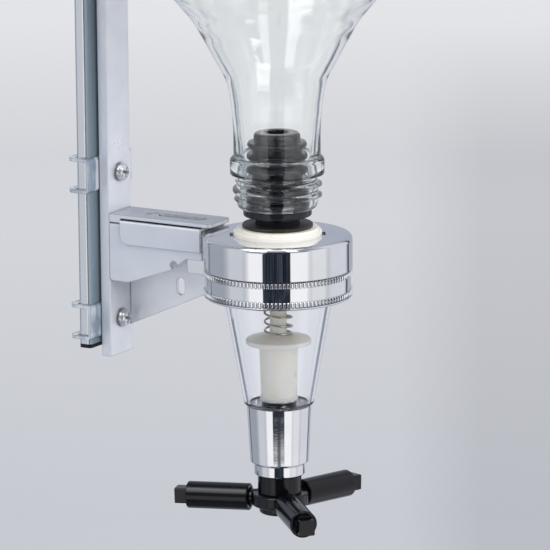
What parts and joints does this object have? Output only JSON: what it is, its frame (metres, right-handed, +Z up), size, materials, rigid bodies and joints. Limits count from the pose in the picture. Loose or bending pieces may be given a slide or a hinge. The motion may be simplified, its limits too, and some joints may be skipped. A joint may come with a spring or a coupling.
{
  "type": "wall spirit dispenser",
  "caption": "Wall-mounted measure for an upside-down bottle, with a clear measuring chamber, a press lever with roller sleeves and a sprung bottle support.",
  "frame": {"origin": "on the wall, midway between the two wall fixings", "axes": "+Z up along the rail, +Y into the wall, -Y outwards to the user, +X to the right as the user sees it"},
  "size_m": [0.08, 0.1156, 0.5043],
  "materials": {
    "rail_aluminium": "bright drawn aluminium",
    "zinc_steel": "bright zinc plating, faintly mottled",
    "fastener_steel": "bright zinc plating",
    "polished_chrome": "mirror chrome plating",
    "bright_steel": "polished stainless steel",
    "spring_steel": "drawn spring wire",
    "ivory_plastic": "moulded ivory plastic",
    "clear_plastic": "clear moulded plastic",
    "bottle_glass": "clear flint glass",
    "black_plastic": "black moulded plastic",
    "black_rubber": "black rubber",
    "brown_rubber": "dark brown rubber"
  },
  "bodies": {
    "rail": {"rail": "rail_aluminium", "rail_plug_lower": "black_plastic", "rail_plug_upper": "black_plastic", "wall_spacer_lower": "zinc_steel", "wall_spacer_upper": "zinc_steel"},
    "rack": {"back_strap": "zinc_steel", "clip_lower": "zinc_steel", "clip_middle": "zinc_steel", "clip_top": "zinc_steel", "clip_screws": "fastener_steel", "arm_channel": "zinc_steel", "arm_top_plate": "zinc_steel", "upper_arm_channel": "zinc_steel", "upper_top_plate": "zinc_steel"},
    "measure": {"slide_cover": "zinc_steel", "guide_stud": "fastener_steel", "cap": "polished_chrome", "knurled_ring": "polished_chrome", "inlet_collar": "ivory_plastic", "inlet_plate": "ivory_plastic", "chamber_gasket": "black_rubber", "chamber": "clear_plastic", "nozzle": "polished_chrome", "plunger_spring": "spring_steel"},
    "plunger": {"plunger": "ivory_plastic", "inlet_valve": "black_rubber", "outlet_seal": "black_rubber", "push_stem": "bright_steel", "spout_tube": "black_plastic"},
    "lever": {"lever": "black_plastic"},
    "sleeve_1": {"roller_sleeve_1": "black_plastic"},
    "sleeve_2": {"roller_sleeve_2": "black_plastic"},
    "sleeve_3": {"roller_sleeve_3": "black_plastic"},
    "bottle": {"bottle": "bottle_glass", "bottle_neck": "bottle_glass", "stopper": "black_rubber", "spigot_washer": "brown_rubber"},
    "upper_slide": {"top_slide": "zinc_steel", "upper_slide_cover": "zinc_steel", "upper_guide_stud": "fastener_steel", "support_spring": "spring_steel"},
    "support": {"support_rod": "bright_steel", "rod_knob": "black_plastic", "base_cup": "black_plastic", "base_pad": "black_rubber"}
  },
  "joints": [
    {"name": "rack_height", "type": "slide", "parent": "rail", "child": "rack", "axis": [0, 0, 1], "range_m": [0, 0.05]},
    {"name": "reach", "type": "slide", "parent": "rack", "child": "measure", "axis": [0, -1, 0], "range_m": [0, 0.017]},
    {"name": "bottle_lift", "type": "slide", "parent": "measure", "child": "bottle", "axis": [0, 0, 1], "range_m": [0, 0.014], "stiffness_N_per_m": 150, "springref_m": -0.02},
    {"name": "lever_press", "type": "slide", "parent": "measure", "child": "plunger", "axis": [0, 0, 1], "range_m": [0, 0.0052], "stiffness_N_per_m": 300, "springref_m": -0.006, "deforming": ["plunger_spring"]},
    {"name": "lever_swivel", "type": "hinge", "parent": "plunger", "child": "lever", "pos_m": [0, -0.07565, -0.33905], "axis": [0, 0, 1], "continuous": true},
    {"name": "sleeve_spin_1", "type": "hinge", "parent": "lever", "child": "sleeve_1", "pos_m": [0, -0.07565, -0.33905], "axis": [-0.2553, 0.9664, -0.0279], "continuous": true},
    {"name": "sleeve_spin_2", "type": "hinge", "parent": "lever", "child": "sleeve_2", "pos_m": [0, -0.07565, -0.33905], "axis": [-0.7093, -0.7044, -0.0279], "continuous": true},
    {"name": "sleeve_spin_3", "type": "hinge", "parent": "lever", "child": "sleeve_3", "pos_m": [0, -0.07565, -0.33905], "axis": [0.9646, -0.2621, -0.0279], "continuous": true},
    {"name": "upper_reach", "type": "slide", "parent": "rack", "child": "upper_slide", "axis": [0, -1, 0], "range_m": [0, 0.017]},
    {"name": "support_lift", "type": "slide", "parent": "upper_slide", "child": "support", "axis": [0, 0, 1], "range_m": [0, 0.014], "deforming": ["support_spring"]}
  ],
  "couplings": [
    {"joint": "upper_reach", "follows": "reach", "ratio": 1},
    {"joint": "support_lift", "follows": "bottle_lift", "ratio": 1}
  ]
}
